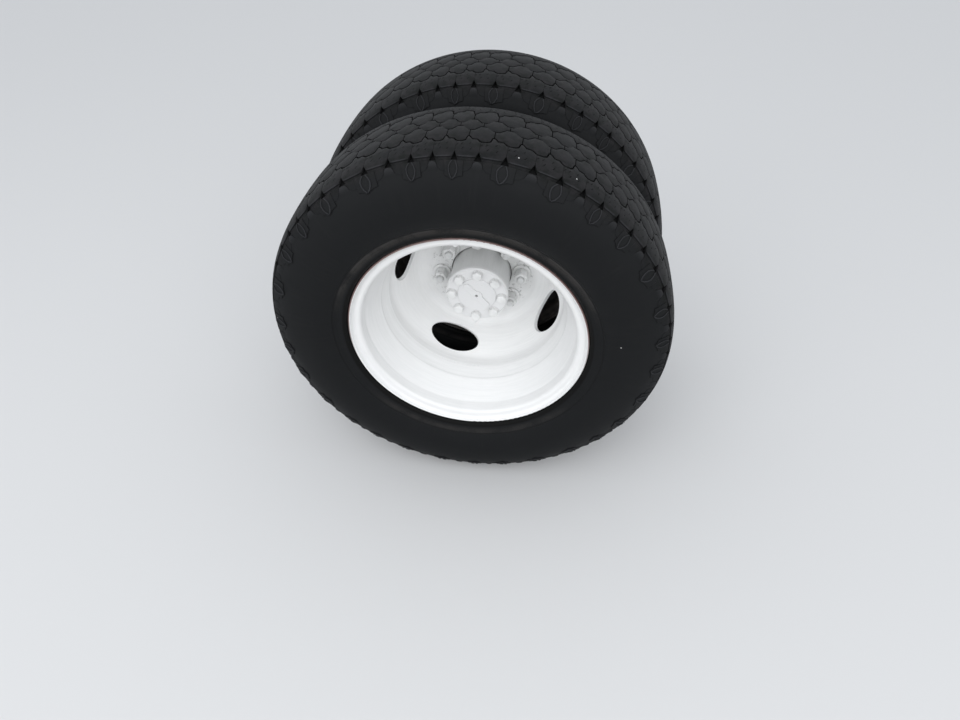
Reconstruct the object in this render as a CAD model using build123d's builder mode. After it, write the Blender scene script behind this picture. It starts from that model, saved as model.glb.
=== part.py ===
"""Dual rear wheel of a van on the outer end of its driven axle, in millimetres.

The axle runs along Y with outboard towards -Y, Z is up, and the origin is the
centre of the axle tube's inner end, where it is pressed into the axle's centre.
A section is drawn as (radius, place along Y) and turned about the axle.
"""
from build123d import *
from math import atan2, cos, radians, sin, tan
import os

# Places along the axle
mating_y = -425.0          # plane where the two discs meet
dual_offset = 136.0        # from that plane to the middle of either rim
running_gap = 5.0          # between turning and standing pieces
fit_gap = 0.3              # between a bore and what fits in it
thread_gap = 0.1           # between a tapped hole and its bolt

# Rim, 16 x 6 inch
rim_width = 178.0
seat_radius = 203.0
flange_height = 17.0       # of the lip above the seat
rim_sheet = 4.5
flange_depth = 13.0        # from the lip's edge to the wall behind the bead
lip_straight = 0.5         # straight end of the lip, past its bend
seat_bend = 5.0
seat_length = 24.0
far_seat_length = 22.25
seat_taper = 5.0           # degrees
well_depth = 20.5          # of the well's floor below the seat
well_start = 84.0          # from the lip's edge
well_bend = 9.0
well_side = 11.0           # length of the steep side beyond the well

# Disc
disc_thickness = 7.0
cone_height = 42.5         # of the cone between its flat face and its skirt
cone_angle = 28.0          # from the axle's direction, degrees
disc_bend = 28.0
skirt_bend = 40.0
skirt_length = 24.0        # from the cone's corner to the skirt's edge
hand_hole_count = 4
hand_hole_length = 107.0
hand_hole_width = 59.0
hand_hole_rise = 25.3      # of its centre above the cone's inner corner
hand_hole_angle = -22.0    # of the first one, from +X towards +Z

# Tyre, 225/75 R 16
tyre_radius = 367.0        # its tread worn by 5
tyre_width = 223.0
tread_width = 158.0
tread_wall = 20.0
shoulder_drop = 34.0       # from the tread down to the sidewall
shoulder_width = 26.0      # from the tread's edge out to the sidewall
widest_radius = 290.0
sidewall_wall = 11.0
cavity_width = 136.0       # of the hollow under the tread
bead_width = 18.0
bead_gap = 0.3             # between the tyre and the rim
collar_proud = 5.0         # of the ring that guards the rim's lip
collar_tilt = 30.0         # of that ring's inner face, degrees

# Hub and brake drum
pilot_radius = 62.0
pilot_length = 4.0         # beyond the mating plane, outboard
hub_reach = 85.0           # from the mating plane to the drive flange's face
barrel_step = 2.0          # from the pilot down to the barrel
barrel_wall = 20.5
barrel_chamfer = 1.5
hub_flange_edge = 8.45     # metal outside the studs' heads
hub_flange_thickness = 15.0
hub_rear_wall = 12.8
hub_rear_gap = 30.0        # from the hub's rear end to the spindle's flange
hub_edge = 2.0
drum_web = 8.0
drum_web_margin = 10.0     # of the drum's web outside the hub's flange
drum_gap = 16.6            # from the inner wheel's sheet to the drum
drum_wall = 9.0
drum_surface_length = 82.0
drum_bell_length = 86.0
drum_bead = 5.6            # height of the stiffening ring at its open end
drum_rim_length = 14.0
outer_bearing_setback = 24.0
outer_bearing_width = 22.0
inner_bearing_radius = 49.2
inner_bearing_width = 24.0
bearing_shoulder = 3.0     # metal left beyond the inner bearing
bearing_lip = 4.5          # height of the hub's shoulder behind a bearing

# Axle shaft with its drive flange
drive_flange_overhang = 2.0
drive_flange_thickness = 12.0
drive_flange_chamfer = 3.0
shaft_gap = 4.0            # from the shaft to the spindle's bore
shaft_reach = 75.0         # past the tube's inner end
spline_rise = 1.55         # of the splined end above the shaft
spline_length = 60.0
spline_count = 24
spline_depth = 1.6
spline_width = 2.4
drive_bolt_count = 8
drive_bolt_angle = 3.5     # of the first one, turned from +Z
drive_bolt_radius = 6.0
drive_head_flats = 17.0
drive_head_height = 10.0
drive_bolt_depth = 18.0    # into the hub
pad_margin = 11.5          # from the bolts' circle in to the raised pad
pad_height = 2.0
pad_chamfer = 1.0
bar_length = 68.0          # raised bar across the pad
bar_width = 13.0
bar_angle = -49.0
bar_height = 1.8
centre_boss_radius = 11.0
centre_hole_radius = 3.0
centre_hole_depth = 7.0

# Studs, nuts and washers
stud_count = 8
stud_land = 20.55          # from the pilot to the studs' circle
stud_angle = 2.5
stud_radius = 7.15
stud_head_radius = 11.0
stud_head_height = 6.0
stud_past_nut = 6.0
stud_chamfer = 1.5
washer_radius = 18.5
washer_thickness = 4.0
nut_flats = 24.0
nut_height = 22.0

# Spindle, backing plate and axle tube
outer_journal_radius = 25.4
inner_journal_radius = 28.6
journal_margin = 8.0       # of a journal beyond its bearing
spindle_wall = 3.9
plate_thickness = 4.0
plate_inset = 3.0          # of its edge inside the drum's
plate_lip = 9.0
plate_bend = 4.0
plate_bore_clearance = 1.0
rib_inner_radius = 100.0
rib_margin = 20.0          # from the raised ring out to the plate's edge
rib_height = 7.0
rib_slope = 8.0
weld_size = 7.0
joint_flange_width = 33.55
joint_flange_thickness = 14.0
joint_bolt_count = 6
joint_bolt_inset = 15.0    # from the flange's edge to the bolts' circle
joint_bolt_radius = 6.0
joint_head_flats = 17.0
joint_head_height = 8.0
tube_radius = 44.45
tube_wall = 9.45
tube_end_step = 0.45
tube_end_length = 70.0

# Spring seat
seat_y = -120.0
spring_seat_width = 76.0
spring_seat_length = 130.0
spring_seat_height = 70.0  # of its face above the axle's middle
spring_hole_radius = 8.5
spring_hole_depth = 14.0
spring_pad_thickness = 12.0
saddle_base_height = 8.0   # of the saddle's feet above the axle's middle
saddle_wall = 8.0

# Wheel cylinder, bleed screw and adjuster plug on the backing plate
cylinder_radius = 17.0
cylinder_height = 16.0
cylinder_bolt_spread = 27.0
bleed_radius = 4.0
bleed_hex_height = 12.0
bleed_tip_height = 12.0
plug_width = 30.0
plug_height = 14.0
plug_thickness = 5.0

# Valve stems
outer_valve_angle = 95.0
inner_valve_angle = 68.0
valve_radius = 4.0
valve_bend = 9.0
valve_nut_flats = 14.0
valve_nut_height = 6.0
outer_valve_rise = 10.0    # from its seat on the rim's slope
outer_valve_length = 20.0  # along that slope
inner_valve_offset = 2.7   # outside the hand hole's centre
inner_valve_past = 36.0    # of its tip beyond the hand hole

# Values that follow from these
half_sheet = rim_sheet / 2
half_disc = disc_thickness / 2
flange_radius = seat_radius + flange_height
well_radius = seat_radius - well_depth
well_end = rim_width - flange_depth + half_sheet - far_seat_length - well_side
lip_y = mating_y - dual_offset - rim_width / 2
nut_seat_y = mating_y - disc_thickness
drive_face_y = mating_y - hub_reach
disc_bore_radius = pilot_radius + fit_gap
stud_circle = pilot_radius + stud_land
barrel_radius = pilot_radius - barrel_step
drive_flange_radius = barrel_radius + drive_flange_overhang
outer_bearing_radius = barrel_radius - barrel_wall
drive_bolt_circle = barrel_radius - barrel_wall / 2
hub_flange_radius = stud_circle + stud_head_radius + hub_flange_edge
hub_rear_radius = inner_bearing_radius + hub_rear_wall
hub_face_y = mating_y + disc_thickness + drum_web
hub_flange_back_y = hub_face_y + hub_flange_thickness
hub_front_y = drive_face_y + drive_flange_thickness
drum_outer = well_radius - rim_sheet - drum_gap
drum_radius = drum_outer - drum_wall
drum_rim_radius = drum_outer + drum_bead
drum_web_radius = hub_flange_radius + drum_web_margin
drum_face_y = mating_y + disc_thickness
drum_step_y = drum_face_y + drum_bell_length
drum_end_y = drum_step_y + drum_surface_length
plate_y = drum_end_y + running_gap
plate_radius = drum_rim_radius - plate_inset
rib_outer_radius = plate_radius - rib_margin
cylinder_circle = (rib_inner_radius + rib_outer_radius) / 2
tube_flange_y = plate_y + plate_thickness
tube_body_y = tube_flange_y + joint_flange_thickness
tube_bore_radius = tube_radius - tube_wall
tube_end_radius = tube_radius - tube_end_step
joint_flange_radius = tube_radius + joint_flange_width
joint_bolt_circle = joint_flange_radius - joint_bolt_inset
plate_bore_radius = tube_bore_radius + plate_bore_clearance
spindle_flange_y = plate_y - joint_flange_thickness
hub_rear_y = spindle_flange_y - hub_rear_gap
inner_bearing_y = hub_rear_y - bearing_shoulder - inner_bearing_width
outer_bearing_y = hub_front_y + outer_bearing_setback
spindle_bore_radius = outer_journal_radius - spindle_wall
shaft_radius = spindle_bore_radius - shaft_gap
spline_radius = shaft_radius + spline_rise


def across(flats):
    """Radius to the corners of a hexagon of this size across its flats."""
    return flats / 2 / cos(radians(30))


def section(points):
    """A closed section of straight sides."""
    with BuildSketch(Plane.XY) as face:
        with BuildLine():
            Polyline(*points, close=True)
        make_face()
    return face.sketch


def band(points, bends, thickness):
    """A sheet of even thickness along a bent line."""
    with BuildSketch(Plane.XY) as face:
        with BuildLine():
            FilletPolyline(*points, radius=bends)
            offset(amount=thickness / 2)
        make_face()
    return face.sketch


def along(radius, angle, y):
    """Point at a radius and an angle about the axle."""
    return (radius * cos(radians(angle)), y, radius * sin(radians(angle)))


def outboard(y):
    """Plane across the axle whose normal points outboard."""
    return Plane(origin=(0, y, 0), x_dir=(1, 0, 0), z_dir=(0, -1, 0))


def inboard(y):
    """Plane across the axle whose normal points inboard."""
    return Plane(origin=(0, y, 0), x_dir=(-1, 0, 0), z_dir=(0, 1, 0))


def finish(part, name):
    """Name a finished piece and write it."""
    part.label = name
    export_step(part, f"parts/{name}.step")


def write_pair(part, piece):
    """Write the outer wheel's piece, and its mirror image as the inner wheel's."""
    finish(part, f"outer_{piece}")
    twin = mirror(part, about=Plane.XZ.offset(-mating_y), mode=Mode.PRIVATE)
    finish(twin, f"inner_{piece}")


os.makedirs("parts", exist_ok=True)

# Rim: one rolled sheet from lip to lip
lip_line = flange_radius - half_sheet
seat_line = seat_radius - half_sheet
well_line = well_radius - half_sheet
wall_y = lip_y + flange_depth - half_sheet
far_wall_y = lip_y + rim_width - flange_depth + half_sheet
seat_end_line = seat_line - seat_length * tan(radians(seat_taper))
rim_points = [
    (lip_line, lip_y + half_sheet),
    (lip_line, wall_y),
    (seat_line, wall_y),
    (seat_end_line, wall_y + seat_length),
    (well_line, lip_y + well_start),
    (well_line, lip_y + well_end),
    (seat_end_line, lip_y + well_end + well_side),
    (seat_line, far_wall_y),
    (lip_line, far_wall_y),
    (lip_line, lip_y + rim_width - half_sheet),
]
lip_bend = flange_depth - rim_sheet - lip_straight
rim_bends = [
    lip_bend,
    seat_bend,
    well_bend,
    well_bend,
    well_bend,
    seat_bend,
    seat_bend,
    lip_bend,
]
with BuildPart() as rim:
    revolve(band(rim_points, rim_bends, rim_sheet), axis=Axis.Y)
write_pair(rim.part, "rim")

# Disc: a bell from the hub's face to a skirt inside the rim's well
skirt_line = well_radius - rim_sheet - half_disc
cone_corner_radius = skirt_line - cone_height
cone_slope = tan(radians(cone_angle))
flat_y = mating_y - half_disc
skirt_corner_y = flat_y - cone_height / cone_slope
hole_y = flat_y - hand_hole_rise / cone_slope
hole_radius = cone_corner_radius + hand_hole_rise
through_disc = 3 * disc_thickness
with BuildPart() as disc:
    disc_points = [
        (disc_bore_radius / 2, flat_y),
        (cone_corner_radius, flat_y),
        (skirt_line, skirt_corner_y),
        (skirt_line, skirt_corner_y - skirt_length),
    ]
    revolve(band(disc_points, [disc_bend, skirt_bend], disc_thickness), axis=Axis.Y)
    with BuildSketch(outboard(nut_seat_y)):
        Circle(disc_bore_radius)
    extrude(amount=disc_thickness, both=True, mode=Mode.SUBTRACT)
    with BuildSketch(outboard(nut_seat_y)):
        with PolarLocations(stud_circle, stud_count, start_angle=stud_angle):
            Circle(stud_radius + fit_gap)
    extrude(amount=disc_thickness, both=True, mode=Mode.SUBTRACT)
    for index in range(hand_hole_count):
        angle = hand_hole_angle + index * 360 / hand_hole_count
        normal = (
            cos(radians(angle)) * cos(radians(cone_angle)),
            sin(radians(cone_angle)),
            sin(radians(angle)) * cos(radians(cone_angle)),
        )
        sideways = (-sin(radians(angle)), 0, cos(radians(angle)))
        hole_plane = Plane(origin=along(hole_radius, angle, hole_y), x_dir=sideways, z_dir=normal)
        with BuildSketch(hole_plane):
            Ellipse(hand_hole_length / 2, hand_hole_width / 2)
        extrude(amount=through_disc, both=True, mode=Mode.SUBTRACT)
write_pair(disc.part, "disc")

# Tyre: a hollow carcass whose beads sit on the rim's seats
tyre_mid_y = lip_y + rim_width / 2
bead_y = lip_y + flange_depth
lip_curl = lip_bend + half_sheet
curl_radius = flange_radius - lip_curl
curl_reach = lip_curl + bead_gap
tilt_in = sin(radians(collar_tilt))
tilt_out = cos(radians(collar_tilt))
bead_edge_radius = curl_radius + (curl_reach - lip_curl * tilt_in) / tilt_out
collar_rise = flange_depth - lip_curl + collar_proud
collar_radius = curl_radius + (curl_reach + collar_rise * tilt_in) / tilt_out
foot_radius = seat_radius - (bead_width - seat_bend) * tan(radians(seat_taper))
upper_y = tyre_mid_y - tread_width / 2 - shoulder_width
widest_y = tyre_mid_y - tyre_width / 2
with BuildPart() as tyre:
    with BuildSketch(Plane.XY):
        with BuildLine():
            Polyline(
                (tyre_radius - tread_wall, tyre_mid_y),
                (tyre_radius - tread_wall, tyre_mid_y - cavity_width / 2),
                (widest_radius, widest_y + sidewall_wall),
                (foot_radius, bead_y + bead_width),
                (seat_radius, bead_y + seat_bend),
                (bead_edge_radius, bead_y),
                (collar_radius, lip_y - collar_proud),
                (widest_radius, widest_y),
                (tyre_radius - shoulder_drop, upper_y),
                (tyre_radius, tyre_mid_y - tread_width / 2),
                (tyre_radius, tyre_mid_y),
                close=True,
            )
        make_face()
        mirror(about=Plane.XZ.offset(-tyre_mid_y))
    revolve(axis=Axis.Y)
write_pair(tyre.part, "tyre")

# Brake drum: its web lies between the inner disc and the hub
with BuildPart() as drum:
    drum_points = [
        (pilot_radius + fit_gap, drum_face_y),
        (drum_web_radius, drum_face_y),
        (drum_radius, drum_step_y - drum_wall),
        (drum_outer, drum_step_y),
        (drum_outer, drum_end_y - drum_rim_length),
        (drum_rim_radius, drum_end_y - drum_rim_length),
        (drum_rim_radius, drum_end_y),
        (drum_radius, drum_end_y),
        (drum_radius, drum_step_y),
        (drum_radius - drum_wall, drum_step_y),
        (drum_web_radius - drum_web, hub_face_y),
        (pilot_radius + fit_gap, hub_face_y),
    ]
    revolve(section(drum_points), axis=Axis.Y)
    with BuildSketch(outboard(drum_face_y)):
        with PolarLocations(stud_circle, stud_count, start_angle=stud_angle):
            Circle(stud_radius + fit_gap)
    extrude(amount=-drum_web, mode=Mode.SUBTRACT)
finish(drum.part, "brake_drum")

# Hub: pilot and barrel outboard, stud flange, bearing housing inboard
outer_seat_end_y = outer_bearing_y + outer_bearing_width
with BuildPart() as hub:
    hub_points = [
        (outer_bearing_radius, hub_front_y),
        (barrel_radius - barrel_chamfer, hub_front_y),
        (barrel_radius, hub_front_y + barrel_chamfer),
        (barrel_radius, mating_y - pilot_length),
        (pilot_radius, mating_y - pilot_length),
        (pilot_radius, hub_face_y),
        (hub_flange_radius, hub_face_y),
        (hub_flange_radius, hub_flange_back_y),
        (hub_rear_radius, hub_flange_back_y),
        (hub_rear_radius, hub_rear_y - hub_edge),
        (hub_rear_radius - hub_edge, hub_rear_y),
        (inner_bearing_radius, hub_rear_y),
        (inner_bearing_radius, inner_bearing_y),
        (inner_bearing_radius - bearing_lip, inner_bearing_y),
        (outer_bearing_radius - bearing_lip, outer_seat_end_y),
        (outer_bearing_radius, outer_seat_end_y),
    ]
    revolve(section(hub_points), axis=Axis.Y)
    with BuildSketch(outboard(hub_face_y)):
        with PolarLocations(stud_circle, stud_count, start_angle=stud_angle):
            Circle(stud_radius)
    extrude(amount=-hub_flange_thickness, mode=Mode.SUBTRACT)
    with BuildSketch(outboard(hub_front_y)):
        with PolarLocations(drive_bolt_circle, drive_bolt_count, start_angle=90 - drive_bolt_angle):
            Circle(drive_bolt_radius + thread_gap)
    extrude(amount=-drive_bolt_depth, mode=Mode.SUBTRACT)
finish(hub.part, "hub")

# Wheel bearings: an outer and an inner ring, each filling its seat in the hub
with BuildPart() as bearings:
    with BuildSketch(outboard(outer_bearing_y)):
        Circle(outer_bearing_radius)
        Circle(outer_journal_radius + fit_gap, mode=Mode.SUBTRACT)
    extrude(amount=-outer_bearing_width)
    with BuildSketch(outboard(inner_bearing_y)):
        Circle(inner_bearing_radius)
        Circle(inner_journal_radius + fit_gap, mode=Mode.SUBTRACT)
    extrude(amount=-inner_bearing_width)
finish(bearings.part, "wheel_bearings")

# Axle shaft, one forging with the drive flange that closes the hub's barrel
pad_radius = drive_bolt_circle - pad_margin
pad_y = drive_face_y - pad_height
with BuildPart() as shaft:
    shaft_points = [
        (0, pad_y),
        (pad_radius - pad_chamfer, pad_y),
        (pad_radius, pad_y + pad_chamfer),
        (pad_radius, drive_face_y),
        (drive_flange_radius - drive_flange_chamfer, drive_face_y),
        (drive_flange_radius, drive_face_y + drive_flange_chamfer),
        (drive_flange_radius, hub_front_y),
        (shaft_radius, hub_front_y),
        (shaft_radius, shaft_reach - spline_length),
        (spline_radius, shaft_reach - spline_length),
        (spline_radius, shaft_reach),
        (0, shaft_reach),
    ]
    revolve(section(shaft_points), axis=Axis.Y)
    with BuildSketch(outboard(hub_front_y)):
        with PolarLocations(drive_bolt_circle, drive_bolt_count, start_angle=90 - drive_bolt_angle):
            Circle(drive_bolt_radius + fit_gap)
    extrude(amount=drive_flange_thickness, mode=Mode.SUBTRACT)
    with BuildSketch(outboard(pad_y)):
        with Locations(Location((0, 0, 0), (0, 0, bar_angle))):
            SlotOverall(bar_length, bar_width)
        Circle(centre_boss_radius)
    extrude(amount=bar_height)
    with BuildSketch(inboard(shaft_reach)):
        with PolarLocations(spline_radius, spline_count):
            Rectangle(2 * spline_depth, spline_width)
    extrude(amount=-spline_length, mode=Mode.SUBTRACT)
    with BuildSketch(outboard(pad_y - bar_height)):
        Circle(centre_hole_radius)
    extrude(amount=-centre_hole_depth, mode=Mode.SUBTRACT)
finish(shaft.part, "axle_shaft")

# Bolts that hold the drive flange to the hub
with BuildPart() as drive_bolts:
    with BuildSketch(outboard(drive_face_y)):
        with PolarLocations(drive_bolt_circle, drive_bolt_count, start_angle=90 - drive_bolt_angle):
            RegularPolygon(across(drive_head_flats), 6)
    extrude(amount=drive_head_height)
    with BuildSketch(outboard(drive_face_y)):
        with PolarLocations(drive_bolt_circle, drive_bolt_count, start_angle=90 - drive_bolt_angle):
            Circle(drive_bolt_radius)
    extrude(amount=-drive_flange_thickness - drive_bolt_depth)
finish(drive_bolts.part, "drive_flange_bolts")

# Wheel studs, pressed into the hub's flange from behind
nut_face_y = nut_seat_y - washer_thickness
stud_tip_y = nut_face_y - nut_height - stud_past_nut
with BuildPart() as studs:
    with BuildSketch(outboard(hub_flange_back_y)):
        with PolarLocations(stud_circle, stud_count, start_angle=stud_angle):
            Circle(stud_head_radius)
    extrude(amount=-stud_head_height)
    with BuildSketch(outboard(hub_flange_back_y)):
        with PolarLocations(stud_circle, stud_count, start_angle=stud_angle):
            Circle(stud_radius)
    extrude(amount=hub_flange_back_y - stud_tip_y)
    stud_tips = studs.faces().group_by(Axis.Y)[0]
    chamfer(stud_tips.edges(), length=stud_chamfer)
finish(studs.part, "wheel_studs")

# Washers under the wheel nuts
with BuildPart() as washers:
    with BuildSketch(outboard(nut_seat_y)):
        with PolarLocations(stud_circle, stud_count, start_angle=stud_angle):
            Circle(washer_radius)
            Circle(stud_radius + fit_gap, mode=Mode.SUBTRACT)
    extrude(amount=washer_thickness)
finish(washers.part, "nut_washers")

# Wheel nuts
with BuildPart() as nuts:
    with BuildSketch(outboard(nut_face_y)):
        with PolarLocations(stud_circle, stud_count, start_angle=stud_angle):
            RegularPolygon(across(nut_flats), 6)
            Circle(stud_radius + thread_gap, mode=Mode.SUBTRACT)
    extrude(amount=nut_height)
finish(nuts.part, "wheel_nuts")

# Spindle: a hollow forging that carries the bearings, bolted to the tube's flange
spindle_tip_y = outer_bearing_y - bearing_shoulder
with BuildPart() as spindle:
    spindle_points = [
        (spindle_bore_radius, spindle_tip_y),
        (outer_journal_radius, spindle_tip_y),
        (outer_journal_radius, outer_seat_end_y + journal_margin),
        (inner_journal_radius, inner_bearing_y - journal_margin),
        (inner_journal_radius, spindle_flange_y),
        (joint_flange_radius, spindle_flange_y),
        (joint_flange_radius, plate_y),
        (spindle_bore_radius, plate_y),
    ]
    revolve(section(spindle_points), axis=Axis.Y)
    with BuildSketch(outboard(plate_y)):
        with PolarLocations(joint_bolt_circle, joint_bolt_count):
            Circle(joint_bolt_radius + thread_gap)
    extrude(amount=joint_flange_thickness, mode=Mode.SUBTRACT)
finish(spindle.part, "spindle")

# Backing plate: a pressed disc with one raised ring and a turned edge
plate_middle_y = plate_y + plate_thickness / 2
plate_edge = plate_radius - plate_thickness / 2
with BuildPart() as backing:
    plate_points = [
        (plate_bore_radius / 2, plate_middle_y),
        (rib_inner_radius, plate_middle_y),
        (rib_inner_radius + rib_slope, plate_middle_y + rib_height),
        (rib_outer_radius - rib_slope, plate_middle_y + rib_height),
        (rib_outer_radius, plate_middle_y),
        (plate_edge, plate_middle_y),
        (plate_edge, plate_middle_y + plate_lip),
    ]
    plate_bends = [plate_bend] * (len(plate_points) - 2)
    revolve(band(plate_points, plate_bends, plate_thickness), axis=Axis.Y)
    with BuildSketch(outboard(plate_y)):
        Circle(plate_bore_radius)
        with PolarLocations(joint_bolt_circle, joint_bolt_count):
            Circle(joint_bolt_radius + thread_gap)
    extrude(amount=-plate_thickness, mode=Mode.SUBTRACT)
finish(backing.part, "backing_plate")

# Axle tube with the flange that the spindle is bolted to
with BuildPart() as tube:
    tube_points = [
        (tube_bore_radius, tube_flange_y),
        (joint_flange_radius, tube_flange_y),
        (joint_flange_radius, tube_body_y),
        (tube_radius + weld_size, tube_body_y),
        (tube_radius, tube_body_y + weld_size),
        (tube_radius, -tube_end_length),
        (tube_end_radius, -tube_end_length),
        (tube_end_radius, 0),
        (tube_bore_radius, 0),
    ]
    revolve(section(tube_points), axis=Axis.Y)
    with BuildSketch(outboard(tube_flange_y)):
        with PolarLocations(joint_bolt_circle, joint_bolt_count):
            Circle(joint_bolt_radius + thread_gap)
    extrude(amount=-joint_flange_thickness, mode=Mode.SUBTRACT)
finish(tube.part, "axle_tube")

# Bolts through the spindle's flange, the backing plate and the tube's flange
joint_grip = 2 * joint_flange_thickness + plate_thickness
with BuildPart() as joint_bolts:
    with BuildSketch(outboard(tube_body_y)):
        with PolarLocations(joint_bolt_circle, joint_bolt_count):
            Circle(joint_bolt_radius)
    extrude(amount=joint_grip)
    with BuildSketch(outboard(tube_body_y)):
        with PolarLocations(joint_bolt_circle, joint_bolt_count):
            RegularPolygon(across(joint_head_flats), 6)
    extrude(amount=-joint_head_height)
    with BuildSketch(outboard(spindle_flange_y)):
        with PolarLocations(joint_bolt_circle, joint_bolt_count):
            RegularPolygon(across(joint_head_flats), 6)
    extrude(amount=joint_head_height)
finish(joint_bolts.part, "spindle_bolts")

# Spring seat: a cast saddle on top of the tube
with BuildPart() as saddle:
    half_length = spring_seat_length / 2
    foot = tube_radius + saddle_wall
    pad_bottom = spring_seat_height - spring_pad_thickness
    with BuildSketch(Plane.XZ.offset(-seat_y - spring_seat_width / 2)):
        with BuildLine():
            Polyline(
                (-half_length, spring_seat_height),
                (half_length, spring_seat_height),
                (half_length, pad_bottom),
                (foot, saddle_base_height),
                (-foot, saddle_base_height),
                (-half_length, pad_bottom),
                close=True,
            )
        make_face()
        Circle(tube_radius, mode=Mode.SUBTRACT)
    extrude(amount=spring_seat_width)
    with BuildSketch(Plane.XY.offset(spring_seat_height)):
        with Locations((0, seat_y)):
            Circle(spring_hole_radius)
    extrude(amount=-spring_hole_depth, mode=Mode.SUBTRACT)
finish(saddle.part, "spring_seat")

# Wheel cylinder's end and its two bolts on the back of the plate
rib_face_y = plate_y + plate_thickness + rib_height
with BuildPart() as cylinder:
    with BuildSketch(inboard(rib_face_y)):
        with Locations((0, cylinder_circle)):
            Circle(cylinder_radius)
    extrude(amount=cylinder_height)
    with BuildSketch(inboard(rib_face_y)):
        with Locations(
            (-cylinder_bolt_spread, cylinder_circle),
            (cylinder_bolt_spread, cylinder_circle),
        ):
            RegularPolygon(across(joint_head_flats), 6)
    extrude(amount=joint_head_height)
finish(cylinder.part, "wheel_cylinder")

# Bleed screw on the wheel cylinder
cylinder_end_y = rib_face_y + cylinder_height
with BuildPart() as bleed:
    with BuildSketch(inboard(cylinder_end_y)):
        with Locations((0, cylinder_circle)):
            RegularPolygon(across(2 * bleed_radius), 6)
    extrude(amount=bleed_hex_height)
    with BuildSketch(inboard(cylinder_end_y + bleed_hex_height)):
        with Locations((0, cylinder_circle)):
            Circle(bleed_radius)
    extrude(amount=bleed_tip_height)
finish(bleed.part, "bleed_screw")

# Rubber plug over the brake adjuster's slot
with BuildPart() as plug:
    with BuildSketch(inboard(rib_face_y)):
        with Locations((0, -cylinder_circle)):
            SlotOverall(plug_width, plug_height)
    extrude(amount=plug_thickness)
finish(plug.part, "adjuster_plug")


def write_stem(points, angle, name):
    """A bent valve stem that starts in a nut on the rim, from radii and places along Y."""
    with BuildPart() as stem:
        with BuildLine() as route:
            route_points = [along(radius, angle, y) for radius, y in points]
            FilletPolyline(*route_points, radius=valve_bend)
        start = Plane(origin=route.line @ 0, z_dir=route.line % 0)
        with BuildSketch(start):
            Circle(valve_radius)
        sweep(path=route.line)
        with BuildSketch(start):
            RegularPolygon(across(valve_nut_flats), 6)
        extrude(amount=valve_nut_height)
    finish(stem.part, name)


# Valve stem of the outer wheel, on the sloping part of its rim
valve_seat = half_sheet + fit_gap
slope_fall = seat_end_line - well_line
slope_angle = atan2(slope_fall, well_start - flange_depth + half_sheet - seat_length)
slope_radius = (seat_end_line + well_line) / 2
slope_y = (wall_y + seat_length + lip_y + well_start) / 2
outer_height = valve_seat + outer_valve_rise
turn_radius = slope_radius - outer_height * cos(slope_angle)
turn_y = slope_y - outer_height * sin(slope_angle)
outer_route = [
    (slope_radius - valve_seat * cos(slope_angle), slope_y - valve_seat * sin(slope_angle)),
    (turn_radius, turn_y),
    (
        turn_radius + outer_valve_length * sin(slope_angle),
        turn_y - outer_valve_length * cos(slope_angle),
    ),
]
write_stem(outer_route, outer_valve_angle, "outer_valve_stem")

# Valve stem of the inner wheel, bent to run out through the outer hand hole
side_angle = atan2(slope_fall, well_side)
side_radius = (seat_end_line + well_line) / 2 - valve_seat * cos(side_angle)
inner_lip_y = 2 * mating_y - lip_y
side_y = inner_lip_y - well_end - well_side / 2 - valve_seat * sin(side_angle)
inner_valve_radius = hole_radius + inner_valve_offset
inner_rise = side_radius - inner_valve_radius
inner_route = [
    (side_radius, side_y),
    (inner_valve_radius, side_y - inner_rise * tan(side_angle)),
    (inner_valve_radius, hole_y - inner_valve_past),
]
write_stem(inner_route, inner_valve_angle, "inner_valve_stem")
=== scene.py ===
# %% [markdown]
# # Dressing a dual rear wheel
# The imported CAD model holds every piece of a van's twin rear wheel at its real size. This lesson
# gives the pieces their looks: tyres with tread and worn shoulders, wheels painted white with a
# brush, and the rusty iron behind them. Everything is in metres in the CAD model's own frame: the
# axle lies along Y, the wheels face -Y, Z is up, and the origin is the axle tube's inner end.

# %% Load the frame and keep its box
import math
import bpy
import numpy as np
from mathutils import Matrix, Vector


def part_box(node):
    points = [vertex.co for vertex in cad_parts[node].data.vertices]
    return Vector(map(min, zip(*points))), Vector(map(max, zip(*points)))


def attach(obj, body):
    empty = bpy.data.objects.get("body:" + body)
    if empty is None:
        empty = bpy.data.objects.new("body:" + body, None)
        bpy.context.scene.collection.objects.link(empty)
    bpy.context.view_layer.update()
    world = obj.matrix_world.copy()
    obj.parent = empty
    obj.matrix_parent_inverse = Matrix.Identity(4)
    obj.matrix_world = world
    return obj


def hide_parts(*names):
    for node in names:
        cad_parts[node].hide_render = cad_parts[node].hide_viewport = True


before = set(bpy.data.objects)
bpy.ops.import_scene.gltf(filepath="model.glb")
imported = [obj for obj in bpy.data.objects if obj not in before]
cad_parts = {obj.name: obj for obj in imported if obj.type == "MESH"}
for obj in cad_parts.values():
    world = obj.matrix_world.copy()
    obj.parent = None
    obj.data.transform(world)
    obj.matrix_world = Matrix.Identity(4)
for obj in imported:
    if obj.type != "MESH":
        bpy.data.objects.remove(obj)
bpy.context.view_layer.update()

# %% [markdown]
# The wheel's main places come from the CAD nodes, so nothing here is fitted by eye. The outer
# rim's lowest corner along Y is the edge of its lip, and half the tyre's height is its radius.

# %% Places taken from the frame
tyre_low, tyre_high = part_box("outer_tyre")
lip_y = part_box("outer_rim")[0].y
tyre_radius = tyre_high.z
tyre_mid_y = (tyre_low.y + tyre_high.y) / 2
twin_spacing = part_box("inner_tyre")[0].y - tyre_low.y
print("lip at", round(lip_y, 4), "and tyre radius", round(tyre_radius, 4))
print("from one tyre to the other", round(twin_spacing, 4))

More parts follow.
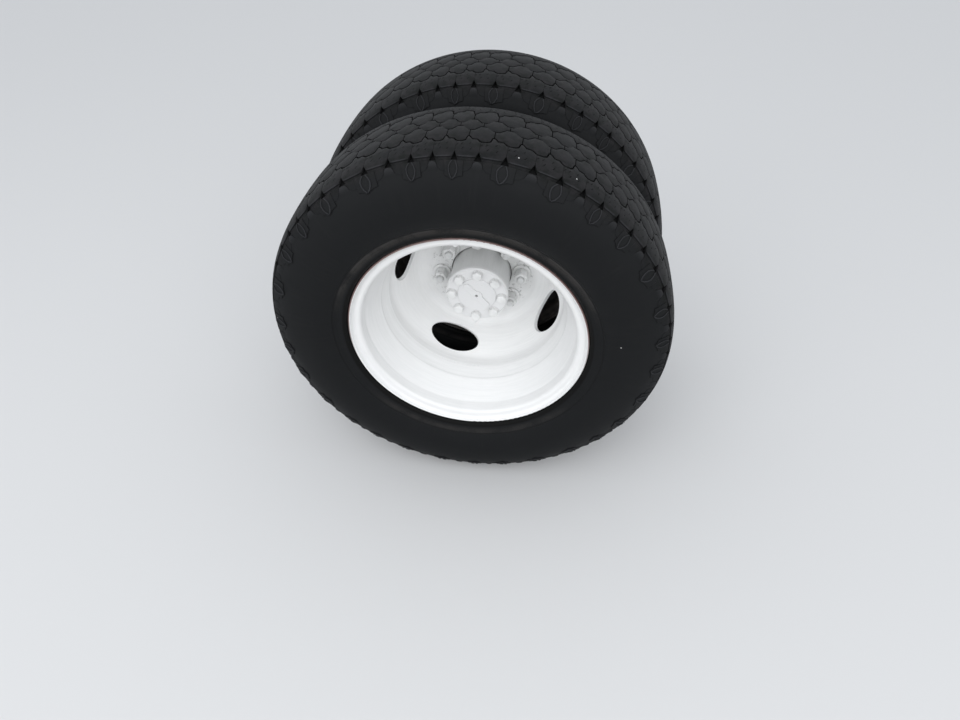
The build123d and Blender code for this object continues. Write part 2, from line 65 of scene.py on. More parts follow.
# %% [markdown]
# The camera stands where the photographer stood: in front of the wheel, a little to its right,
# looking down at about 44 degrees. Its place and turns are real sizes, measured from the middle of
# the rim's lip.

# %% Camera
camera_offset = Vector((0.157, -0.847, 0.774))
camera_yaw = -0.157
camera_pitch = 0.761
camera_roll = 0.044
focal_length = 23.9
sensor_width = 36.0

forward = Vector((
    math.sin(camera_yaw) * math.cos(camera_pitch),
    math.cos(camera_yaw) * math.cos(camera_pitch),
    -math.sin(camera_pitch),
))
level = Vector((math.cos(camera_yaw), -math.sin(camera_yaw), 0.0))
upright = level.cross(forward)
sideways = math.cos(camera_roll) * level - math.sin(camera_roll) * upright
above = math.sin(camera_roll) * level + math.cos(camera_roll) * upright
camera_turn = Matrix((sideways, above, -forward)).transposed().to_4x4()
bpy.ops.object.camera_add()
camera = bpy.context.object
camera.name = "camera"
camera.matrix_world = Matrix.Translation(Vector((0, lip_y, 0)) + camera_offset) @ camera_turn
camera.data.lens = focal_length
camera.data.sensor_width = sensor_width
bpy.context.scene.camera = camera
print("camera at", tuple(round(value, 3) for value in camera.matrix_world.translation))

# %% [markdown]
# The light is that of an overcast day: a pale world all round, one broad soft lamp above and in
# front, and one lower on each side, which stand for the pale ground there. View transform Standard
# shows a colour as it is written.

# %% Light and floor
scene = bpy.context.scene
scene.view_settings.view_transform = "Standard"
world = bpy.data.worlds.new("pale_room")
world.use_nodes = True
background = world.node_tree.nodes["Background"].inputs
background["Color"].default_value = (0.86, 0.89, 0.93, 1)
background["Strength"].default_value = 1.0
scene.world = world


def soft_lamp(name, place, aim, size, power):
    """Add a square area lamp that looks at a point."""
    bpy.ops.object.light_add(type="AREA", location=place)
    lamp = bpy.context.object
    lamp.name = name
    lamp.data.size = size
    lamp.data.energy = power
    lamp.rotation_mode = "QUATERNION"
    lamp.rotation_quaternion = (Vector(aim) - Vector(place)).to_track_quat("-Z", "Y")
    return lamp


wheel_centre = Vector((0, lip_y, 0))
soft_lamp("sky", wheel_centre + Vector((-0.6, -1.8, 2.6)), wheel_centre, 2.4, 17)
soft_lamp("front", wheel_centre + Vector((1.9, -3.0, 1.7)), wheel_centre, 2.4, 39)
soft_lamp("fill", wheel_centre + Vector((-2.2, -3.0, 1.4)), wheel_centre, 2.4, 26)
bpy.ops.mesh.primitive_plane_add(size=14, location=(0, lip_y, -tyre_radius))
floor = bpy.context.object
floor.name = "floor"

# %% [markdown]
# A tyre is a moulded ring. Its outline could be turned from one curve, but the tread can't: grooves
# cut it into blocks. So the outline is written once, as the surface that the blocks' tops and the
# sidewall share, and both the smooth carcass and the flat-modelled blocks are laid on it. The list
# is half of it in millimetres, distance from the tyre's middle and radius, from the tread's middle
# over the shoulder and the sidewall to the foot that sits on the rim.

# %% The tyre's outline
MM = 0.001
tread_radius = 367
half_outline = [
    (0, tread_radius), (26, 366.6), (42, 366), (52, 365.3), (60, 364.5), (68, 363.3), (75, 361.9),
    (81, 360.1), (86, 357.8), (90, 355), (93.5, 351), (97, 346), (100.5, 340), (104, 333),
    (107, 324.5), (109.4, 314), (111, 302), (111.5, 290), (110.6, 278), (108, 266), (104.6, 256),
    (100.6, 247), (97.6, 241), (95.9, 237.5), (95.3, 234), (94.9, 230), (93.6, 225.8),
    (91.2, 222.6), (88.2, 220.9), (86.25, 220.35), (80.95, 218.93), (77.07, 215.05), (75.6, 209.5),
    (74.6, 205.5), (71, 203.4), (66, 203), (58, 201.9),
]


def smooth_line(points, steps):
    """Points along a Catmull-Rom curve, which passes through every given point."""
    last = len(points) - 1
    line = []
    for index in range(last):
        a, b = points[max(index - 1, 0)], points[index]
        c, d = points[index + 1], points[min(index + 2, last)]
        for step in range(steps):
            t = step / steps
            line.append([
                0.5 * (
                    2 * q + (r - p) * t + (2 * p - 5 * q + 4 * r - s) * t**2
                    + (3 * q - p - 3 * r + s) * t**3
                )
                for p, q, r, s in zip(a, b, c, d)
            ])
    line.append(points[last])
    return np.array(line, dtype=float)


tyre_line = smooth_line(half_outline, 8)
line_place = np.concatenate([[0], np.cumsum(np.hypot(*np.diff(tyre_line, axis=0).T))])
line_slope = np.gradient(tyre_line, line_place, axis=0)
line_slope[0] = (1, 0)
print("from the tread's middle to the foot:", round(line_place[-1], 1), "mm")


def on_outline(across, height):
    """Distance from the middle and radius of places along the outline, raised by a height."""
    side = np.where(across < 0, -1.0, 1.0)
    place = np.abs(across)
    wide = np.interp(place, line_place, tyre_line[:, 0])
    radius = np.interp(place, line_place, tyre_line[:, 1])
    wide = wide - height * np.interp(place, line_place, line_slope[:, 1])
    radius = radius + height * np.interp(place, line_place, line_slope[:, 0])
    return side * wide, radius


# %% [markdown]
# Edit mode is opened and closed many times below. These helpers deselect everything, pick one
# piece, join several, and set a smooth finish that keeps sharp edges sharp. Rubber is lighter on
# its rubbed edges and has a painted highlight on crests, and its grooves are painted dark for
# their shade and dirt; one helper writes that onto the mesh's corners.

# %% Helpers for pieces
def deselect():
    """Leave edit mode with nothing selected."""
    if bpy.context.object and bpy.context.object.mode != "OBJECT":
        bpy.ops.object.mode_set(mode="OBJECT")
    bpy.ops.object.select_all(action="DESELECT")


def only(piece):
    """Select one piece and make it active."""
    deselect()
    piece.select_set(True)
    bpy.context.view_layer.objects.active = piece


def edit_all():
    """Open edit mode with the whole piece selected."""
    bpy.ops.object.mode_set(mode="EDIT")
    bpy.ops.mesh.select_mode(type="FACE")
    bpy.ops.mesh.select_all(action="SELECT")


def close_and_smooth(piece, angle=35):
    """Merge doubles, turn the faces outwards and smooth all but the sharp edges."""
    only(piece)
    edit_all()
    bpy.ops.mesh.remove_doubles(threshold=0.00001)
    bpy.ops.mesh.normals_make_consistent(inside=False)
    bpy.ops.object.mode_set(mode="OBJECT")
    bpy.ops.object.shade_smooth_by_angle(angle=math.radians(angle))


def copy_of(piece):
    """Copy a piece together with its mesh."""
    twin = piece.copy()
    twin.data = piece.data.copy()
    bpy.context.collection.objects.link(twin)
    return twin


def write_wear_and_light(piece, wear_and_light_at):
    """Write wear and painted light on each vertex: 1 rubbed light and highlit, -1 groove shade and
    dirt.
    """
    layer = piece.data.attributes.get("wear_and_light") or piece.data.attributes.new("wear_and_light", "FLOAT", "POINT")
    for vertex, value in zip(piece.data.vertices, layer.data):
        value.value = wear_and_light_at(*vertex.co)


def join(name, pieces):
    """Join pieces into one with a new name."""
    only(pieces[0])
    for piece in pieces:
        piece.select_set(True)
    bpy.ops.object.join()
    pieces[0].name = pieces[0].data.name = name
    return pieces[0]


# %% [markdown]
# The carcass is the rubber under the blocks. Its cross-section starts as a circle whose corners are
# moved onto the outline, lowered by the depth of the tread, and is then spun round the axle in 192
# steps. The floor of the tread steps up to the sidewall at the foot of the shoulder blocks.

# %% Carcass
floor_places = [0, 64, 76, 84, 93.4, 94.1, 112, 136]
floor_depths = [6.5, 6.5, 6.2, 5.6, 4.6, 0.7, 0.6, 0]
carcass_places = np.concatenate([
    np.arange(0, 64, 9), np.arange(64, 93, 4), [93.4, 94.1], np.arange(97, 196, 4.7),
    np.arange(196, line_place[-1], 3.2), [line_place[-1]],
])
cavity = [
    (58, 203), (60, 214), (76, 240), (95, 262), (100.5, 290), (94, 316), (80, 336), (62, 347),
    (30, 351),
]


def carcass_section():
    """The closed cross-section of the carcass, as (distance from the middle, radius)."""
    depth = np.interp(carcass_places, floor_places, floor_depths)
    wide, radius = on_outline(carcass_places, -depth)
    outside = list(zip(wide, radius))
    half = outside[1:] + cavity
    return [outside[0]] + half + [(0, 352)] + [(-w, r) for w, r in reversed(half)]


def spin_section(name, section, middle_y, steps=192):
    """Spin a closed cross-section round the axle's line."""
    deselect()
    bpy.ops.mesh.primitive_circle_add(vertices=len(section))
    ring = bpy.context.object
    for vertex, (wide, radius) in zip(ring.data.vertices, section):
        vertex.co = (0, middle_y - wide * MM, radius * MM)
    bpy.ops.object.mode_set(mode="EDIT")
    bpy.ops.mesh.select_all(action="SELECT")
    bpy.ops.mesh.spin(steps=steps, angle=math.tau, center=(0, 0, 0), axis=(0, 1, 0))
    bpy.ops.object.mode_set(mode="OBJECT")
    ring.name = name
    return ring


carcass = spin_section("carcass", carcass_section(), tyre_mid_y)
close_and_smooth(carcass)
groove_wide, groove_radius = 88.8 * MM, 340 * MM


def floor_of_grooves(x, y, z):
    """Painted shade, with some dirt, under the tread; plain on the sidewalls and inside."""
    return -1.0 if abs(y - tyre_mid_y) < groove_wide and math.hypot(x, z) > groove_radius else 0.0


write_wear_and_light(carcass, floor_of_grooves)
print("carcass:", len(carcass.data.polygons), "faces")

# %% [markdown]
# The tread repeats every 12 degrees: two pitches of 38 mm, each with a notch in the shoulder. It
# is modelled as a flat strip, x round the tyre, y over it from its middle, z up. Each block is a
# filled circle whose corners are moved to the block's outline, raised by an extrude, its top edge
# worn by a bevel, and bisected so that it can bend.

# %% Raising a block
pitch = math.radians(6) * tread_radius


def raise_block(outline, low, high, edge, cuts_x=(), cuts_y=(), rounds=1):
    """A flat block over an outline, with a bevelled top edge."""
    deselect()
    bpy.ops.mesh.primitive_circle_add(vertices=len(outline), fill_type="NGON")
    block = bpy.context.object
    for vertex, (x, y) in zip(block.data.vertices, outline):
        vertex.co = (x, y, low)
    edit_all()
    bpy.ops.mesh.extrude_region_move(TRANSFORM_OT_translate={"value": (0, 0, high - low)})
    bpy.ops.mesh.region_to_loop()
    bpy.ops.mesh.bevel(offset=edge, segments=rounds, affect="EDGES")
    for places, across in ((cuts_x, (1, 0, 0)), (cuts_y, (0, 1, 0))):
        for place in places:
            bpy.ops.mesh.select_all(action="SELECT")
            bpy.ops.mesh.bisect(plane_co=Vector(across) * place, plane_no=across)
    bpy.ops.mesh.select_all(action="SELECT")
    bpy.ops.mesh.normals_make_consistent(inside=False)
    bpy.ops.object.mode_set(mode="OBJECT")
    # The foot is written dark: painted shade where the block meets the carcass.
    write_wear_and_light(block, lambda x, y, z: -1.0 if z < low + 0.01 else 0.0)
    return block


def moved(piece, x=0.0, flip=False):
    """Copy a flat piece along the tread, or to the tread's other side."""
    twin = copy_of(piece)
    for vertex in twin.data.vertices:
        vertex.co.x += x
        if flip:
            vertex.co.y = -vertex.co.y
    if flip:
        twin.data.flip_normals()
    return twin


# %% [markdown]
# The blocks of one pitch, from the shoulder to the middle. The worn shoulder block ends in a ledge
# with a lower skirt beyond it, and both narrow towards the sidewall, which leaves the notch between
# two blocks a pointed arch. The pairs are millimetres round the tyre from a notch, and over the
# tread. Every block's foot is sunk in the carcass.

# %% Blocks of one pitch
block_foot = -8.5
foot_ends = -8


def shoulder_wear_and_shade(x, y, z):
    """Painted shade at the foot; the ledge, away from the notches, rubbed light and highlit."""
    if z < foot_ends:
        return -1.0
    return 0.7 if y > 87 and 11 < x < 31 else 0.0


def skirt_shade(x, y, z):
    """Painted shade: dark at the foot, and a little dark near the notches."""
    if z < foot_ends:
        return -1.0
    return 0.0 if 12 < x < 26 else -0.4


shoulder_block = raise_block([
    (0.05, 54.5), (2.5, 53.7), (7, 48.3), (15, 47.8), (17.5, 43.5), (20.5, 40), (22.3, 40.5),
    (24.5, 51.5), (29.4, 54.7), (38.35, 55.2), (38.35, 78.5), (34.4, 88.3), (4, 88.3), (0.05, 78.5),
], block_foot, 0, 0.5, (12, 21, 30), (61, 68, 73, 77, 81, 85, 87.2), 2)
write_wear_and_light(shoulder_block, shoulder_wear_and_shade)
skirt = raise_block(
    [(3.6, 87.5), (34.8, 87.5), (32.4, 94.2), (6, 94.2)],
    block_foot, -1.7, 0.4, (10, 13, 25, 28), (90.5,),
)
write_wear_and_light(skirt, skirt_shade)
inner_block = raise_block([
    (-16.6, 36.5), (-14.6, 39), (-12.8, 48.6), (-8.8, 51.6), (-1.2, 52.1), (1.6, 50.7), (6.1, 45.2),
    (14.9, 44.7), (16.9, 40.4), (20.8, 36.3), (20.8, 20), (15, 19), (6, 7.5), (-4, 7.5), (-12, 17),
    (-16.6, 19.5),
], block_foot, 0, 0.5, (-6, 6), (27,), 2)
centre_block = raise_block([
    (x + 21.3, y) for x, y in [
        (-6, 17), (6, 17), (15, 5.3), (18.8, 5.3), (18.8, -5.3), (15, -5.3),
        (6, -17), (-6, -17), (-15, -5.3), (-18.8, -5.3), (-18.8, 5.3), (-15, 5.3),
    ]
], block_foot, 0, 0.5, (15, 27), (0,), 2)
flat_blocks = (shoulder_block, skirt, inner_block, centre_block)
print("blocks:", [len(block.data.polygons) for block in flat_blocks])

# %% [markdown]
# Below every other notch the sidewall carries a raised shield with a leaf of two thin ridges on
# it, and below the notches between them a rounded hump, which fades into the sidewall: its top is
# lowered along its length.

# %% Shields, leaves and humps
shield = raise_block([
    (-16.5, 94), (-16.5, 116), (-9, 117), (-3.5, 119), (1.5, 121.5), (5, 121.5), (10, 117.5),
    (16.5, 116), (16.5, 94),
][::-1], -3, 0.9, 0.5, (-10, 0, 10), (98, 104, 110, 115))
wing = raise_block([
    (16, 94), (16, 109.5), (19, 109.3), (25, 107.5), (30.5, 101), (31.5, 94),
], -3, -0.1, 0.3, (20, 25), (97, 101, 105))
# The wing's lower part is written a little dark: painted shade in the pocket.
write_wear_and_light(wing, lambda x, y, z: -0.3 if y < 104 else 0.0)
left_ridge = raise_block([
    (1, 94.5), (3.5, 94.5), (7.5, 98.5), (9.7, 103), (9.3, 110), (7.5, 115.5), (3.2, 121),
    (2, 119.4), (5.4, 114.4), (7.2, 109), (7.4, 103.5), (5.5, 99.5),
][::-1], 0.3, 2.3, 0.7, (), (97, 101, 106, 112, 117))
right_ridge = raise_block([
    (-1, 94.5), (-3.3, 94.5), (-6.3, 100), (-7.9, 106), (-6.7, 112), (-3.5, 117.6), (1.7, 121),
    (2.2, 119), (-1.4, 116), (-4.5, 111), (-5.6, 106), (-4.2, 101),
], 0.3, 2.3, 0.7, (), (97, 101, 106, 112, 117))
# The ridges' crests are written light: a painted highlight.
for ridge in (left_ridge, right_ridge):
    write_wear_and_light(ridge, lambda x, y, z: 0.75 if z > 1.5 else 0.1)
other_wing = copy_of(wing)
for vertex in other_wing.data.vertices:
    vertex.co.x = -vertex.co.x
other_wing.data.flip_normals()
shield = join("shield", [shield, wing, other_wing, left_ridge, right_ridge])
hump = raise_block([
    (-9.8, 118), (-9.6, 108), (-8.7, 102.5), (-6.9, 98), (-4, 95.7), (0, 95), (4, 95.7), (6.9, 98),
    (8.7, 102.5), (9.6, 108), (9.8, 118),
][::-1], -4, 1.5, 1.1, (-4, 0, 4), (97.5, 100, 104, 109, 114), 2)
hump_fall, fall_from, fall_long = 2.3, 96, 19
for vertex in hump.data.vertices:
    if vertex.co.z > -3:
        left = max(0, 1 - max(0, vertex.co.y - fall_from) / fall_long)
        vertex.co.z -= hump_fall - hump_fall * left ** 2
# The hump's crest nearest the notch is written light: a painted highlight.
write_wear_and_light(hump, lambda x, y, z: 0.6 * max(0, 1 - max(0, y - 97) / 12) if z > -3 else 0.0)
print("shield:", len(shield.data.polygons), "faces, hump:", len(hump.data.polygons))

# %% [markdown]
# One strip of the tread holds these pieces for both sides of the tread's middle.

# %% One strip of two pitches
segment_pieces = [moved(centre_block, x) for x in (0, pitch)]
for flip in (False, True):
    for block in (shoulder_block, skirt, inner_block):
        segment_pieces += [moved(block, x, flip) for x in (0, pitch)]
    segment_pieces += [moved(hump, 0, flip), moved(shield, pitch, flip)]
for flat_piece in (*flat_blocks, shield, hump):
    bpy.data.objects.remove(flat_piece)
segment = join("segment", segment_pieces)
print("one of 30 strips:", len(segment.data.polygons), "faces")

# %% [markdown]
# Thirty copies of the strip are rolled round the tyre. The pitch of a real tread isn't even, so
# that it hums less: a small wave added to the angle gives that. The flat places are kept as a UV
# map, so that the rubber's fine cuts can follow the blocks. The angles are degrees.

# %% Rolling the tread up
strip_count = 30
notch_angle = -0.34
wave_count = 8
pitch_wave = 1.094
wave_angle = 72.08


def keep_flat_map(mesh, flat):
    """Store every corner's flat place, in metres, as the UV map."""
    layer = mesh.uv_layers.get("flat") or mesh.uv_layers.new(name="flat")
    corners = np.empty(len(mesh.loops), dtype=np.int32)
    mesh.loops.foreach_get("vertex_index", corners)
    layer.data.foreach_set("uv", (flat[corners][:, :2] * MM).astype(np.float32).ravel())


def places_of(mesh):
    """All corners of a mesh as an array."""
    places = np.empty(len(mesh.vertices) * 3, dtype=np.float32)
    mesh.vertices.foreach_get("co", places)
    return places.reshape(-1, 3).astype(float)


def roll_up(piece, start, middle_y):
    """Bend a flat strip round the tyre from a start angle."""
    flat = places_of(piece.data)
    wide, radius = on_outline(flat[:, 1], flat[:, 2])
    angle = flat[:, 0] / tread_radius + math.radians(start)
    wave = np.sin(wave_count * (angle - math.radians(wave_angle)))
    angle = angle + math.radians(pitch_wave) * wave
    flat[:, 0] += math.radians(start) * tread_radius
    keep_flat_map(piece.data, flat)
    radius = radius * MM
    along = middle_y - wide * MM
    rolled = np.stack([radius * np.cos(angle), along, radius * np.sin(angle)], axis=1)
    piece.data.vertices.foreach_set("co", rolled.astype(np.float32).ravel())
    piece.data.update()


strips = []
for count in range(strip_count):
    strip = copy_of(segment)
    roll_up(strip, notch_angle + 360 / strip_count * count, tyre_mid_y)
    strips.append(strip)
bpy.data.objects.remove(segment)
tread = join("tread", strips)
only(tread)
bpy.ops.object.shade_smooth_by_angle(angle=math.radians(35))
outer_tyre = join("tyre_outer", [carcass, tread])
print("tyre:", len(outer_tyre.data.loop_triangles), "triangles")

# %% [markdown]
# The inner tyre is the same tyre, one twin spacing further in and turned by chance, as a real pair
# is. Turning only a copy's mesh keeps its object at the origin.

# %% The inner tyre
inner_tyre = copy_of(outer_tyre)
inner_tyre.name = inner_tyre.data.name = "tyre_inner"
turned_by_chance = Matrix.Rotation(math.radians(41), 4, "Y")
inner_tyre.data.transform(Matrix.Translation((0, twin_spacing, 0)) @ turned_by_chance)
for tyre, node in ((outer_tyre, "outer_tyre"), (inner_tyre, "inner_tyre")):
    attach(tyre, "wheels")
    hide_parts(node)

# %% [markdown]
# The nuts and bolts are seen end on and from above. A real nut is a hexagon whose corners a cone
# has turned off, so that arcs show on its flats, and thick paint rounds its edges; the CAD nut is a
# plain prism. So one of each is modelled on Z: a cylinder of 48 sides whose caps are inset, its
# corners moved to the outline and lowered where the cone cuts them, its bore bridged, its edges
# bevelled.

# %% One nut, washer and bolt
def hexagon(flats):
    """A function that gives a hexagon's radius at an angle."""
    return lambda angle: flats / 2 / math.cos((angle + math.pi / 6) % (math.pi / 3) - math.pi / 6)


def turned_prism(outline, bore, high, cone, rounding):
    """A prism on Z, its top cut by a cone from one radius outwards, with a bore if one is given."""
    deselect()
    bpy.ops.mesh.primitive_cylinder_add(vertices=48, radius=1, depth=1)
    piece = bpy.context.object
    edit_all()
    bpy.ops.mesh.select_all(action="DESELECT")
    bpy.ops.mesh.select_face_by_sides(number=48)
    bpy.ops.mesh.inset(thickness=0.2)
    if bore:
        bpy.ops.mesh.inset(thickness=0.2)
        bpy.ops.mesh.delete(type="FACE")
        bpy.ops.mesh.select_mode(type="EDGE")
        bpy.ops.mesh.select_non_manifold()
        bpy.ops.mesh.bridge_edge_loops()
    bpy.ops.object.mode_set(mode="OBJECT")
    for vertex in piece.data.vertices:
        x, y, z = vertex.co
        angle, ring = math.atan2(y, x), math.hypot(x, y)
        radius = outline(angle) if ring > 0.9 else cone if ring > 0.7 else bore
        height = high - max(0, radius - cone) * math.tan(math.radians(30)) if z > 0 else 0
        vertex.co = (radius * math.cos(angle) * MM, radius * math.sin(angle) * MM, height * MM)
    edit_all()
    bpy.ops.mesh.select_mode(type="EDGE")
    bpy.ops.mesh.select_all(action="DESELECT")
    bpy.ops.mesh.edges_select_sharp(sharpness=math.radians(24))
    bpy.ops.mesh.bevel(offset=rounding * MM, segments=2, affect="EDGES")
    bpy.ops.object.mode_set(mode="OBJECT")
    return piece


plain_nut = turned_prism(hexagon(24), 7.3, 22, 11.3, 0.6)
plain_washer = turned_prism(lambda angle: 18.5, 7.4, 4, 17.6, 0.5)
bolt_head_high = 10
bolt_head = turned_prism(hexagon(17), None, bolt_head_high, 7.5, 0.7)
bolt_foot = turned_prism(lambda angle: 9.2, None, 1.4, 8.6, 0.3)
bolt_shank = turned_prism(lambda angle: 6, None, 30, 5.6, 0.3)
bolt_shank.data.transform(Matrix.Rotation(math.pi, 4, "X"))
plain_bolt = join("bolt", [bolt_head, bolt_foot, bolt_shank])
print("faces:", [len(piece.data.polygons) for piece in (plain_nut, plain_washer, plain_bolt)])

# %% [markdown]
# The studs stand on a circle of 165.1 mm, the standard for eight nuts, and the bolts' circle is the
# hub's. Nobody tightens nuts to one angle, so each copy is turned by a different share of a flat.

# %% Rings of nuts, washers and bolts
ring_count = 8
turn_of_each = 37
stud_circle, first_stud = 82.55, 2.5
bolt_circle, first_bolt = 49.75, 86.5


def ring_of(name, plain, circle, first, seat_y, node):
    """Copy a piece to eight places round the axle, pointing away from the van."""
    to_seat = Matrix.Translation((0, seat_y, 0)) @ Matrix.Rotation(math.pi / 2, 4, "X")
    copies = []
    for index in range(ring_count):
        angle = math.radians(first + 360 / ring_count * index)
        x, y = circle * math.cos(angle) * MM, circle * math.sin(angle) * MM
        own_turn = Matrix.Rotation(math.radians(turn_of_each * index), 4, "Z")
        copy = copy_of(plain)
        copy.data.transform(Matrix.Translation((x, y, 0)) @ own_turn)
        copy.data.transform(to_seat)
        copies.append(copy)
    bpy.data.objects.remove(plain)
    ring = join(name, copies)
    close_and_smooth(ring, 30)
    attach(ring, "wheels")
    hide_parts(node)
    return ring


nut_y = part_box("wheel_nuts")[1].y
washer_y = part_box("nut_washers")[1].y
flange_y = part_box("drive_flange_bolts")[0].y + bolt_head_high * MM
nuts = ring_of("nuts", plain_nut, stud_circle, first_stud, nut_y, "wheel_nuts")
washers = ring_of("washers", plain_washer, stud_circle, first_stud, washer_y, "nut_washers")
flange_bolts = ring_of(
    "flange_bolts", plain_bolt, bolt_circle, first_bolt, flange_y, "drive_flange_bolts",
)

# %% [markdown]
# A thick drop of paint hangs from the lowest bolt. It is a sphere drawn out downwards, sunk in the
# bolt's head.

# %% The drop of paint
drop_middle = (-3, -516, -60.5)
drop_half = (2.8, 2.6, 5.5)
deselect()
bpy.ops.mesh.primitive_uv_sphere_add(segments=24, ring_count=12, radius=1)
drop = bpy.context.object
for vertex in drop.data.vertices:
    drawn_out = [at + half * way for at, half, way in zip(drop_middle, drop_half, vertex.co)]
    vertex.co = Vector(drawn_out) * MM
close_and_smooth(drop)
flange_bolts = join("flange_bolts", [flange_bolts, drop])

# %% [markdown]
# The disc's skirt ends in the rim's well with a step of 7 mm. The real joint is welded all round
# and thick with paint, so only a soft crease shows. A long flat fillet, spun round the axle, fills
# it.

# %% The weld between disc and rim
skirt_end_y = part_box("outer_disc")[0].y
skirt_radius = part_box("outer_disc")[1].x / MM
weld = spin_section("weld", [
    (-0.4, skirt_radius - 6.9), (0.8, skirt_radius - 6.8), (9, skirt_radius - 4.2),
    (18, skirt_radius - 1.7), (27, skirt_radius), (27, skirt_radius + 0.6),
    (-0.4, skirt_radius + 0.6),
], skirt_end_y)
close_and_smooth(weld)
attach(weld, "wheels")
print("weld at y", round(skirt_end_y, 4), "inside radius", round(skirt_radius, 1), "mm")

# %% [markdown]
# A finish is wired from small nodes. These helpers add one node, set or link its inputs, and hand
# back what it puts out, so that the recipes below read like sums. Patterns read the piece's own
# Object coordinates, which turn with the wheel.

# %% Helpers for wiring
def wire(tree, kind, inputs=None, out=0, **settings):
    """Add a node, set or link its inputs by name or place, and return one output."""
    new = tree.nodes.new("ShaderNode" + kind)
    for key, value in settings.items():
        setattr(new, key, value)
    for key, value in (inputs or {}).items():
        socket = new.inputs[key]
        if isinstance(value, bpy.types.NodeSocket):
            tree.links.new(value, socket)
        else:
            socket.default_value = value
    return new.outputs[out]


def sums(tree, operation, a, b=0.0, clamp=False):
    """One step of arithmetic."""
    return wire(tree, "Math", {0: a, 1: b}, operation=operation, use_clamp=clamp)


def ramp(tree, value, low, high):
    """Rise smoothly from 0 to 1 as the value goes from low to high; fall if low is the larger."""
    if low > high:
        return sums(tree, "SUBTRACT", 1.0, ramp(tree, value, high, low))
    return wire(tree, "MapRange", {0: value, 1: low, 2: high}, interpolation_type="SMOOTHSTEP")


def times(tree, *values):
    """Multiply values."""
    total = values[0]
    for value in values[1:]:
        total = sums(tree, "MULTIPLY", total, value)
    return total


def hill(tree, value, foot, top, far_top, far_foot):
    """Rise from the foot to the top, stay at 1, and fall from the far top to the far foot."""
    return times(tree, ramp(tree, value, foot, top), ramp(tree, value, far_foot, far_top))


def line_at(tree, value, middle, half_width, half_core):
    """1 where the value is within the half core of the middle, falling to 0 at the half width."""
    off = sums(tree, "ABSOLUTE", sums(tree, "SUBTRACT", value, middle))
    return ramp(tree, off, half_width, half_core)


def blend_colour(tree, mask, under, over):
    """Lay one colour over another through a mask."""
    return wire(
        tree, "Mix", {0: mask, 6: under, 7: over}, out=2, data_type="RGBA", clamp_factor=True,
    )


def grain(tree, vector, scale, detail=3.0, roughness=0.55):
    """A noise value round 0.5."""
    return wire(
        tree, "TexNoise",
        {"Vector": vector, "Scale": scale, "Detail": detail, "Roughness": roughness},
    )


def new_group(name, inputs, outputs):
    """Start a shader node group; inputs and outputs are (name, kind, default) and (name, kind)."""
    tree = bpy.data.node_groups.new(name, "ShaderNodeTree")
    for label, kind, default in inputs:
        socket = tree.interface.new_socket(label, in_out="INPUT", socket_type="NodeSocket" + kind)
        if default is not None:
            socket.default_value = default
    for label, kind in outputs:
        tree.interface.new_socket(label, in_out="OUTPUT", socket_type="NodeSocket" + kind)
    entry = tree.nodes.new("NodeGroupInput").outputs
    leave = tree.nodes.new("NodeGroupOutput").inputs
    return tree, entry, leave


def use_group(tree, group, inputs):
    """Place a group in a material and return its outputs."""
    return wire(tree, "Group", inputs, node_tree=group).node.outputs


def new_material(name, **constants):
    """A material with a Principled shader; what is the same all over is set on its own sockets."""
    material = bpy.data.materials.new(name)
    material.use_nodes = True
    tree = material.node_tree
    shader = tree.nodes["Principled BSDF"]
    for label, value in constants.items():
        shader.inputs[label.replace("_", " ")].default_value = value
    place = wire(tree, "TexCoord", out=3)
    return material, tree, shader, place


def dress(tree, shader, colour, roughness, height, depth, metallic=None):
    """Feed the shader: colour, roughness, bump height in parts of a depth in metres."""
    tree.links.new(colour, shader.inputs["Base Color"])
    tree.links.new(roughness, shader.inputs["Roughness"])
    bump = wire(tree, "Bump", {"Height": height, "Distance": depth, "Strength": 1.0})
    tree.links.new(bump, shader.inputs["Normal"])
    if metallic is not None:
        tree.links.new(metallic, shader.inputs["Metallic"])


# %% [markdown]
# Nearly every pattern on a wheel runs round the axle or straight out from it: brush strokes, mould
# rings, dust thrown outwards. The first group turns a place into the distance from the axle and the
# way out from it. Noise that reads the way has no seam, which an angle would have.

# %% Group: round the axle
round_axle, entry, leave = new_group(
    "round_the_axle", [("Place", "Vector", None)],
    [("Radius", "Float"), ("Way", "Vector"), ("Along", "Float")],
)
parts = wire(round_axle, "SeparateXYZ", {0: entry["Place"]}).node.outputs
level = wire(round_axle, "CombineXYZ", {0: parts[0], 2: parts[2]})
from_axle = wire(round_axle, "VectorMath", {0: level}, out=1, operation="LENGTH")
way_out = wire(round_axle, "VectorMath", {0: level}, operation="NORMALIZE")
round_axle.links.new(from_axle, leave["Radius"])
round_axle.links.new(way_out, leave["Way"])
round_axle.links.new(parts[1], leave["Along"])

# %% [markdown]
# Streaks are noise that is drawn out one way. Strokes of a brush follow the wheel round, so their
# noise changes slowly with the way out and quickly across. Streaks of dust on a sidewall are the
# other way about. One group does both: Round and Across say how many streaks there are to a radian
# and to a metre.

# %% Group: streaks
streaks, entry, leave = new_group(
    "streaks",
    [("Way", "Vector", None), ("Across", "Float", 0.0), ("Round", "Float", 3.0),
     ("Per metre", "Float", 300.0)],
    [("Value", "Float")],
)
scaled_way = wire(streaks, "VectorMath", {0: entry["Way"], 3: entry["Round"]}, operation="SCALE")
scaled_across = times(streaks, entry["Across"], entry["Per metre"])
across = wire(streaks, "CombineXYZ", {1: scaled_across})
joined = wire(streaks, "VectorMath", {0: scaled_way, 1: across}, operation="ADD")
streaks.links.new(grain(streaks, joined, 1.0, 3.0, 0.6), leave["Value"])


